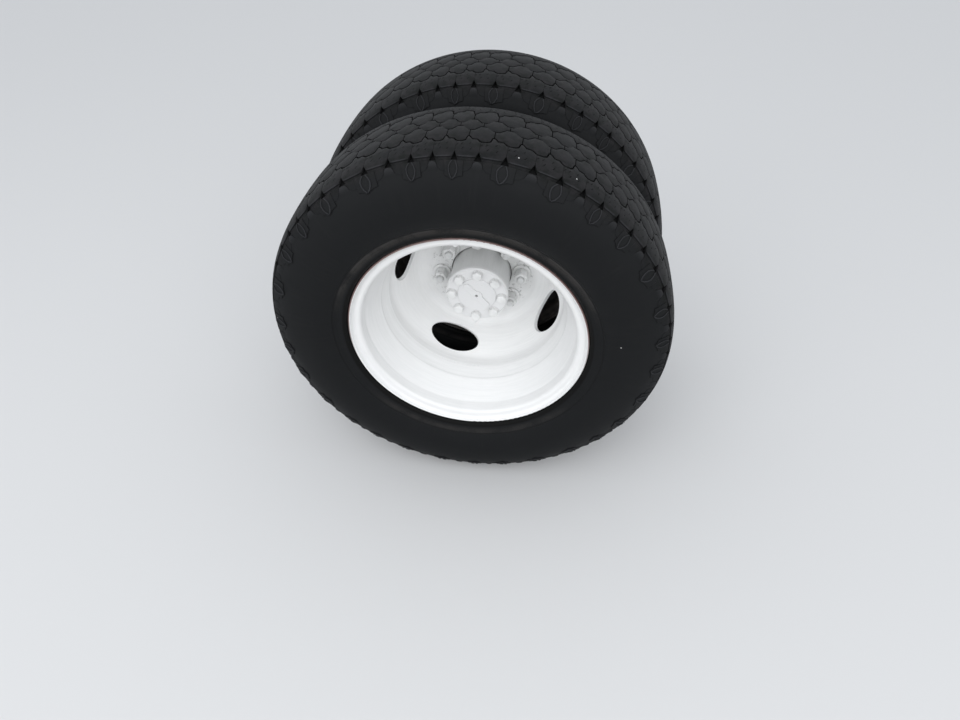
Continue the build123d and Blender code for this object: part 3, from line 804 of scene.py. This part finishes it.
def streaks_along(tree, way, across, to_a_radian, to_a_metre):
    """Streaks in a material: so many to a radian, and so many to a metre across."""
    return use_group(
        tree, streaks,
        {"Way": way, "Across": across, "Round": to_a_radian, "Per metre": to_a_metre},
    )[0]


# %% [markdown]
# Rust comes in blooms of a few centimetres with a broken edge, and is patchy itself: dark brown
# where it is old, orange where it is fresh. The group gives where it lies, its colour and how it
# stands up. Amount moves its edge.

# %% Group: rust
rust, entry, leave = new_group(
    "rust",
    [("Place", "Vector", None), ("Scale", "Float", 30.0), ("Amount", "Float", 0.5)],
    [("Mask", "Float"), ("Colour", "Color"), ("Height", "Float")],
)
broad = grain(rust, entry["Place"], entry["Scale"], 5.0, 0.65)
fine = grain(rust, entry["Place"], 420.0, 3.0, 0.6)
edge = sums(rust, "SUBTRACT", sums(rust, "ADD", broad, entry["Amount"]), times(rust, fine, 0.25))
rust.links.new(ramp(rust, edge, 0.82, 0.92), leave["Mask"])
patches = grain(rust, entry["Place"], 95.0, 4.0, 0.6)
old_rust, fresh_rust = (0.035, 0.017, 0.011, 1), (0.16, 0.058, 0.022, 1)
rust_colour = blend_colour(rust, ramp(rust, patches, 0.42, 0.66), old_rust, fresh_rust)
rust.links.new(rust_colour, leave["Colour"])
rust_height = sums(rust, "ADD", times(rust, fine, 0.7), times(rust, patches, 0.5))
rust.links.new(rust_height, leave["Height"])

# %% [markdown]
# Shade falls where two faces meet, under a bolt's head or along a step, and the finishes paint it
# in as darkening. How much of the sky a place sees within a few millimetres shows where that is.
# The rubber and both white paints use it, so it is a group.

# %% Group: painted crevice shade
crevice_shade, entry, leave = new_group("crevice_shade", [("Reach", "Float", 0.006)], [("Mask", "Float")])
open_sky = wire(crevice_shade, "AmbientOcclusion", {"Distance": entry["Reach"]}, out=1, samples=8)
crevice_shade.links.new(ramp(crevice_shade, open_sky, 0.95, 0.45), leave["Mask"])
print("groups:", [group.name for group in bpy.data.node_groups])

# %% [markdown]
# Tyre rubber is never plain black. The sidewall is satin with faint streaks straight out from the
# axle, and the blocks of the tread are scuffed and stained. The collar next to the rim has a crease
# and light specks, most of them towards its top and its bottom. The gap at the lip and the crease
# are painted near black as shade, and a light arc high on the collar is a painted highlight. Short
# fine cuts in the blocks' tops are drawn on the flat map, as they are too thin to model, and their
# dark is painted shade. The spots are drops of the paint that the wheels got: their angle from +X
# in degrees, and their millimetres from the axle and from the tyre's middle.

# %% Rubber
def speck(tree, place, spot, size):
    """A small round drop at a place, its edge a little uneven."""
    distance = wire(tree, "VectorMath", {0: place, 1: spot}, out=1, operation="DISTANCE")
    return ramp(tree, distance, size, size * 0.7)


def fine_cuts(tree, u, v):
    """Short slanted cuts in the shoulder blocks, as a mask on the flat map."""
    in_pitch = sums(tree, "FLOORED_MODULO", u, pitch * MM)
    over = sums(tree, "ABSOLUTE", v)
    mask = 0.0
    for x, y in cut_places:
        slant = sums(tree, "MULTIPLY", sums(tree, "SUBTRACT", over, y * MM), cut_slant)
        beside = sums(tree, "SUBTRACT", sums(tree, "SUBTRACT", in_pitch, x * MM), slant)
        line = line_at(tree, beside, 0.0, 1.0 * MM, 0.4 * MM)
        length = line_at(tree, over, y * MM, 3.0 * MM, 1.8 * MM)
        mask = sums(tree, "MAXIMUM", mask, times(tree, line, length))
    return mask


cut_places = [(13.8, 59.5), (11.2, 73), (24.3, 72), (34, 63), (27, 62)]
cut_slant = 0.45
paint_spots = [(173.6, 348.4, 95.4), (5.8, 273.2, 109.6), (75.6, 362.1, 74.2), (61.2, 363, 69.3)]
spot_radius = 1.3 * MM
shoulder_from, tread_from = 0.3440, 0.3560
gap_shadow_ends, gap_shadow_fades = 0.2268, 0.2302
collar_speck_places = (0.2290, 0.2375, 0.2405, 0.2465)
highlight_arc_radius, crease_radius = 0.2412, 0.2448
rubber, tree, shader, place = new_material("tyre_rubber", Specular_IOR_Level=0.14)
wheel = use_group(tree, round_axle, {"Place": place})
radius = wheel["Radius"]
flat_map = wire(tree, "UVMap", uv_map="flat")
flat_parts = wire(tree, "SeparateXYZ", {0: flat_map}).node.outputs
outward = streaks_along(tree, wheel["Way"], radius, 45.0, 14.0)
blotches = grain(tree, place, 26.0, 4.0)
stains = grain(tree, place, 75.0, 5.0, 0.65)
rubber_grain = grain(tree, place, 1300.0, 2.0)
grit = grain(tree, place, 520.0, 3.0, 0.7)
on_tread = ramp(tree, radius, shoulder_from, tread_from)
side_dust = times(tree, ramp(tree, outward, 0.42, 0.8), ramp(tree, blotches, 0.35, 0.75), 0.35)
colour = blend_colour(tree, side_dust, (0.0068, 0.0074, 0.0082, 1), (0.015, 0.015, 0.0155, 1))
scuffed = blend_colour(
    tree, ramp(tree, stains, 0.40, 0.60), (0.0062, 0.0070, 0.0066, 1), (0.0145, 0.0138, 0.0148, 1),
)
colour = blend_colour(tree, times(tree, on_tread, ramp(tree, blotches, 0.25, 0.6)), colour, scuffed)
grains = times(tree, ramp(tree, radius, 0.325, 0.350), ramp(tree, grit, 0.66, 0.72))
colour = blend_colour(tree, times(tree, grains, 0.5), colour, (0.055, 0.055, 0.052, 1))
# Painted shadow in the gap between the rim's lip and the tyre.
gap_shadow = ramp(tree, radius, gap_shadow_fades, gap_shadow_ends)
height_up = wire(tree, "SeparateXYZ", {0: place}, out=2)
dust_below = times(tree, ramp(tree, height_up, -0.12, -0.2), 0.5)
# The collar's light specks grow towards its top and its bottom.
top_and_bottom = sums(tree, "MAXIMUM", ramp(tree, height_up, 0.04, 0.16), dust_below)
speckled = ramp(tree, sums(tree, "ADD", times(tree, grit, 0.8), blotches), 0.62, 1.0)
collar_specks = times(tree, hill(tree, radius, *collar_speck_places), top_and_bottom, speckled)
colour = blend_colour(tree, times(tree, collar_specks, 0.85), colour, (0.044, 0.041, 0.039, 1))
crease = line_at(tree, radius, crease_radius, 0.0022, 0.0004)
# A painted highlight: a light arc along the collar, on its upper part only.
highlight_arc = line_at(tree, radius, highlight_arc_radius, 0.0030, 0.0006)
highlight_arc = times(
    tree, highlight_arc, ramp(tree, blotches, 0.42, 0.56), ramp(tree, height_up, 0.06, 0.16),
)
colour = blend_colour(tree, times(tree, highlight_arc, 0.7), colour, (0.050, 0.049, 0.048, 1))
# The gap and the crease are painted near black as their shade.
unlit = sums(tree, "MAXIMUM", gap_shadow, times(tree, crease, 0.35))
colour = blend_colour(tree, unlit, colour, (0.0012, 0.0012, 0.0012, 1))
# Lighter where the attribute is high: rubbed edges, and painted highlights on crests.
wear_and_light = wire(tree, "Attribute", out=2, attribute_name="wear_and_light")
rubbed_and_lit = times(tree, ramp(tree, wear_and_light, 0.05, 0.9), ramp(tree, rubber_grain, 0.2, 0.55))
colour = blend_colour(tree, times(tree, rubbed_and_lit, 0.6), colour, (0.040, 0.041, 0.045, 1))
cuts = fine_cuts(tree, flat_parts[0], flat_parts[1])
shaded_corners = use_group(tree, crevice_shade, {"Reach": 0.004})[0]
# Painted shade: groove floors, block feet, fine cuts and crevices go near black; grooves hold some
# dirt too.
dark = sums(tree, "MAXIMUM", ramp(tree, wear_and_light, -0.15, -0.8), cuts)
dark = sums(tree, "MAXIMUM", times(tree, dark, 0.88), times(tree, shaded_corners, 0.7))
colour = blend_colour(tree, dark, colour, (0.0015, 0.0015, 0.0016, 1))
for angle, from_axle, from_middle in paint_spots:
    turned = math.radians(angle)
    out = from_axle * MM
    spot = (out * math.cos(turned), tyre_mid_y - from_middle * MM, out * math.sin(turned))
    on_spot = speck(tree, place, spot, spot_radius)
    colour = blend_colour(tree, on_spot, colour, (0.55, 0.55, 0.54, 1))
rough = sums(tree, "ADD", 0.47, times(tree, sums(tree, "ADD", blotches, rubber_grain), 0.13))
specks_or_dark = sums(tree, "MAXIMUM", collar_specks, dark)
rough = sums(tree, "ADD", rough, times(tree, specks_or_dark, 0.25), clamp=True)
height = sums(tree, "ADD", times(tree, rubber_grain, 0.25), times(tree, outward, 0.25))
cut_in = sums(tree, "ADD", times(tree, cuts, 2.0), times(tree, crease, 1.5))
height = sums(tree, "SUBTRACT", height, cut_in)
height = sums(tree, "ADD", height, times(tree, on_tread, stains, 1.2))
dress(tree, shader, colour, rough, height, 0.0004)
for tyre in (outer_tyre, inner_tyre):
    tyre.data.materials.clear()
    tyre.data.materials.append(rubber)
print("rubber on", outer_tyre.name, "and", inner_tyre.name)

# %% [markdown]
# The wheels were painted white with a brush while they were on the van: strokes run round the rim,
# the paint is thinner between them, and the edge of the lip behind it stays rusty. The wheels lie
# mirrored about the plane where their discs meet, so the distance from that plane gives the same
# place on either of them.

# %% White wheels
discs_meet_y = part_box("outer_disc")[1].y
rim_mid = abs(tyre_mid_y - discs_meet_y)
half_rim = abs(lip_y - tyre_mid_y)
nut_scuff_places = (0.058, 0.066, 0.098, 0.112)
lip_back_from, lip_back_full = 0.2158, 0.2172
lip_chips_from, lip_chips_full = 0.214, 0.218
lip_edge_from, lip_edge_full = 0.2166, 0.2178


def painted_wheel(name):
    """Brushed white on a steel wheel: greyer near the hub, painted crevice shade, nut scuffs, rusty
    lip.
    """
    material, tree, shader, place = new_material(name)
    wheel = use_group(tree, round_axle, {"Place": place})
    radius, along = wheel["Radius"], wheel["Along"]
    from_discs = sums(tree, "ABSOLUTE", sums(tree, "SUBTRACT", along, discs_meet_y))
    from_rim_middle = sums(tree, "ABSOLUTE", sums(tree, "SUBTRACT", from_discs, rim_mid))
    across = sums(tree, "SUBTRACT", radius, along)
    strokes = streaks_along(tree, wheel["Way"], across, 2.6, 190.0)
    hairs = streaks_along(tree, wheel["Way"], across, 5.0, 900.0)
    blotches = grain(tree, place, 17.0, 4.0)
    specks = grain(tree, place, 240.0, 3.0, 0.7)
    rusty = use_group(tree, rust, {"Place": place, "Scale": 60.0})
    thin = ramp(tree, sums(tree, "ADD", strokes, times(tree, hairs, 0.4)), 0.82, 0.5)
    # Greyer towards the hub, in blotches.
    greyer_near_hub = times(tree, ramp(tree, radius, 0.135, 0.075), ramp(tree, blotches, 0.25, 0.7), 0.35)
    faint = times(tree, ramp(tree, blotches, 0.5, 0.85), 0.04)
    greying = sums(tree, "ADD", greyer_near_hub, faint, clamp=True)
    thick_white, thin_white = (0.91, 0.91, 0.905, 1), (0.84, 0.845, 0.84, 1)
    colour = blend_colour(tree, times(tree, thin, 0.5), thick_white, thin_white)
    colour = blend_colour(tree, greying, colour, (0.36, 0.37, 0.35, 1))
    # Painted shade: grey in crevices, where little sky is seen.
    shaded_corners = use_group(tree, crevice_shade, {"Reach": 0.005})[0]
    colour = blend_colour(tree, times(tree, shaded_corners, 0.25), colour, (0.42, 0.42, 0.41, 1))
    round_nuts = hill(tree, radius, *nut_scuff_places)
    scuffs = times(tree, round_nuts, ramp(tree, grain(tree, place, 130.0, 4.0, 0.7), 0.56, 0.64))
    colour = blend_colour(tree, times(tree, scuffs, 0.5), colour, (0.22, 0.22, 0.21, 1))
    behind = ramp(tree, from_rim_middle, half_rim - 0.0022, half_rim - 0.0042)
    behind_lip = times(tree, ramp(tree, radius, lip_back_from, lip_back_full), behind)
    near_lip = ramp(tree, radius, lip_chips_from, lip_chips_full)
    chips = times(tree, near_lip, ramp(tree, specks, 0.66, 0.70))
    height_up = wire(tree, "SeparateXYZ", {0: place}, out=2)
    on_edge = ramp(tree, radius, lip_edge_from, lip_edge_full)
    lip_edge = times(tree, on_edge, ramp(tree, blotches, 0.24, 0.38))
    lip_edge = times(tree, lip_edge, ramp(tree, height_up, -0.08, 0.04), 0.9)
    bare = sums(tree, "MAXIMUM", behind_lip, chips)
    colour = blend_colour(tree, bare, colour, rusty["Colour"])
    colour = blend_colour(tree, lip_edge, colour, (0.105, 0.034, 0.026, 1))
    dull = sums(tree, "ADD", times(tree, bare, 0.4), times(tree, greying, 0.25))
    rough = sums(tree, "ADD", 0.26, times(tree, strokes, 0.22))
    rough = sums(tree, "ADD", rough, dull, clamp=True)
    height = sums(tree, "ADD", strokes, times(tree, hairs, 0.35))
    height = sums(tree, "SUBTRACT", height, times(tree, bare, 0.5))
    dress(tree, shader, colour, rough, height, 0.00022)
    return material


fresh_white = painted_wheel("brushed_white")


def give(material, *nodes):
    """Put one material on CAD nodes."""
    for name in nodes:
        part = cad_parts[name]
        for slot in part.material_slots:
            slot.material = material
        if not part.material_slots:
            part.data.materials.append(material)


give(fresh_white, "outer_rim", "outer_disc")
print("discs meet at", round(discs_meet_y, 4))
print("from there to a rim's middle", round(rim_mid, 4))

# %% [markdown]
# The hub and the shaft's flange got the same paint, but the brush went along the barrel and left
# it thin and grey. Behind the discs nobody painted: there the iron is rusty, and the shaft's
# splines at the inner end are bare steel with old oil.

# %% Hub and drive flange
barrel_end_y, barrel_full_y = -0.505, -0.497
barrel_edge_radius, barrel_radius = 0.052, 0.057
gap_shadow_places_y = (-0.447, -0.446, -0.4245, -0.424)
gap_shadow_from_radius, gap_shadow_full_radius = 0.0602, 0.0606


def painted_hub(name, metal_colour, metal_rough, metal):
    """White paint on what shows of the hub, running out into bare metal behind the discs."""
    material, tree, shader, place = new_material(name)
    wheel = use_group(tree, round_axle, {"Place": place})
    radius, along = wheel["Radius"], wheel["Along"]
    lengthwise = streaks_along(tree, wheel["Way"], along, 14.0, 12.0)
    dabs = grain(tree, place, 90.0, 3.0)
    specks = grain(tree, place, 230.0, 2.0, 0.7)
    rusty = use_group(tree, rust, {"Place": place, "Scale": 45.0, "Amount": 0.34})
    uneven = sums(tree, "ADD", along, times(tree, dabs, 0.004))
    painted = ramp(tree, uneven, discs_meet_y, discs_meet_y - 0.003)
    bare = sums(tree, "SUBTRACT", 1.0, painted)
    past_end = ramp(tree, along, barrel_end_y, barrel_full_y)
    on_barrel = times(tree, past_end, ramp(tree, radius, barrel_edge_radius, barrel_radius))
    worn = sums(tree, "ADD", 0.45, times(tree, ramp(tree, lengthwise, 0.3, 0.75), 0.35))
    thin = times(tree, on_barrel, worn)
    thick_white, thin_grey = (0.79, 0.79, 0.79, 1), (0.60, 0.61, 0.60, 1)
    colour = blend_colour(tree, times(tree, thin, 0.75), thick_white, thin_grey)
    pits = times(tree, ramp(tree, specks, 0.72, 0.76), 0.85)
    colour = blend_colour(tree, pits, colour, (0.10, 0.09, 0.08, 1))
    under = blend_colour(tree, rusty["Mask"], metal_colour, rusty["Colour"])
    # Painted shade: grey in crevices, where little sky is seen.
    shaded_corners = use_group(tree, crevice_shade, {"Reach": 0.005})[0]
    colour = blend_colour(tree, times(tree, shaded_corners, 0.35), colour, (0.42, 0.42, 0.41, 1))
    # Painted shadow: the gap between the barrel and the wheel's bore goes near black.
    off_barrel = ramp(tree, radius, gap_shadow_from_radius, gap_shadow_full_radius)
    gap_shadow = times(tree, off_barrel, hill(tree, along, *gap_shadow_places_y))
    colour = blend_colour(tree, gap_shadow, colour, (0.004, 0.004, 0.004, 1))
    colour = blend_colour(tree, painted, under, colour)
    rough_metal = sums(tree, "ADD", metal_rough, times(tree, rusty["Mask"], 0.35), clamp=True)
    rough_paint = sums(tree, "ADD", 0.3, times(tree, dabs, 0.2))
    rough = wire(tree, "Mix", {0: painted, 2: rough_metal, 3: rough_paint})
    height = sums(tree, "ADD", times(tree, dabs, 0.8), times(tree, lengthwise, 0.6))
    height = sums(tree, "ADD", height, times(tree, rusty["Height"], bare))
    metallic = times(tree, bare, sums(tree, "SUBTRACT", 1.0, rusty["Mask"]), metal)
    dress(tree, shader, colour, rough, height, 0.0003, metallic)
    return material


hub_paint = painted_hub("hub_white_over_iron", (0.06, 0.05, 0.045, 1), 0.6, 0.2)
flange_paint = painted_hub("flange_white_over_steel", (0.34, 0.32, 0.30, 1), 0.33, 0.95)
give(hub_paint, "hub")
give(flange_paint, "axle_shaft")
print("hub and shaft painted")

# %% [markdown]
# Everything behind the wheels has never been cleaned. The drum is cast iron, brown all over; the
# tube, the backing plate and the spring seat wear a thin black chassis paint through which rust
# breaks; and road dust lies on all of it.

# %% Iron, chassis paint and small steel
def weathered(name, colour_low, colour_high, rust_scale, rust_amount, rough, metal, depth):
    """A metal or thin paint with blotches, rust and road dust."""
    material, tree, shader, place = new_material(name)
    blotches = grain(tree, place, 38.0, 5.0, 0.6)
    cast = grain(tree, place, 700.0, 3.0, 0.6)
    rusty = use_group(tree, rust, {"Place": place, "Scale": rust_scale, "Amount": rust_amount})
    dust = times(tree, ramp(tree, grain(tree, place, 12.0, 5.0, 0.65), 0.45, 0.75), 0.5)
    colour = blend_colour(tree, ramp(tree, blotches, 0.35, 0.65), colour_low, colour_high)
    colour = blend_colour(tree, rusty["Mask"], colour, rusty["Colour"])
    colour = blend_colour(tree, dust, colour, (0.11, 0.10, 0.088, 1))
    dull = sums(tree, "ADD", times(tree, rusty["Mask"], 0.3), times(tree, dust, 0.3))
    roughness = sums(tree, "ADD", rough, dull, clamp=True)
    height = sums(tree, "ADD", times(tree, cast, 0.5), times(tree, rusty["Height"], rusty["Mask"]))
    metallic = times(tree, sums(tree, "SUBTRACT", 1.0, rusty["Mask"], clamp=True), metal)
    dress(tree, shader, colour, roughness, height, depth, metallic)
    return material


rusty_iron = weathered(
    "rusty_cast_iron", (0.034, 0.025, 0.021, 1), (0.085, 0.050, 0.034, 1),
    rust_scale=40.0, rust_amount=0.42, rough=0.62, metal=0.1, depth=0.0005,
)
chassis_black = weathered(
    "chassis_black", (0.010, 0.010, 0.010, 1), (0.024, 0.022, 0.021, 1),
    rust_scale=22.0, rust_amount=0.27, rough=0.48, metal=0.0, depth=0.0003,
)
oily_steel = weathered(
    "oily_steel", (0.19, 0.18, 0.17, 1), (0.40, 0.38, 0.36, 1),
    rust_scale=30.0, rust_amount=0.22, rough=0.30, metal=0.95, depth=0.00015,
)
plug_rubber = weathered(
    "plug_rubber", (0.016, 0.016, 0.016, 1), (0.028, 0.027, 0.026, 1),
    rust_scale=20.0, rust_amount=-0.4, rough=0.6, metal=0.0, depth=0.0002,
)
old_black = weathered(
    "old_black_paint", (0.050, 0.049, 0.048, 1), (0.095, 0.082, 0.074, 1),
    rust_scale=24.0, rust_amount=0.33, rough=0.5, metal=0.0, depth=0.0003,
)
give(rusty_iron, "brake_drum", "wheel_cylinder")
give(chassis_black, "axle_tube", "backing_plate", "spring_seat")
give(oily_steel, "spindle", "spindle_bolts", "wheel_bearings", "bleed_screw", "inner_valve_stem")
give(plug_rubber, "adjuster_plug")
give(old_black, "inner_rim", "inner_disc")
give(fresh_white, "outer_valve_stem")
give(flange_paint, "wheel_studs")
for fastener in (nuts, washers, flange_bolts, weld):
    fastener.data.materials.clear()
    fastener.data.materials.append(fresh_white)

# %% [markdown]
# The floor looks pale to the camera and to gloss, but gives back little light, as the dark road
# under the real wheel does. Otherwise the roof of the rim would be lit from below.

# %% Floor's finish
floor_finish, tree, shader, _ = new_material("pale_floor", Roughness=0.85)
path = wire(tree, "LightPath").node.outputs
seen = sums(tree, "MAXIMUM", path["Is Camera Ray"], path["Is Glossy Ray"])
given_back, shown = (0.22, 0.22, 0.22, 1), (0.66, 0.66, 0.66, 1)
tree.links.new(blend_colour(tree, seen, given_back, shown), shader.inputs["Base Color"])
floor.data.materials.append(floor_finish)
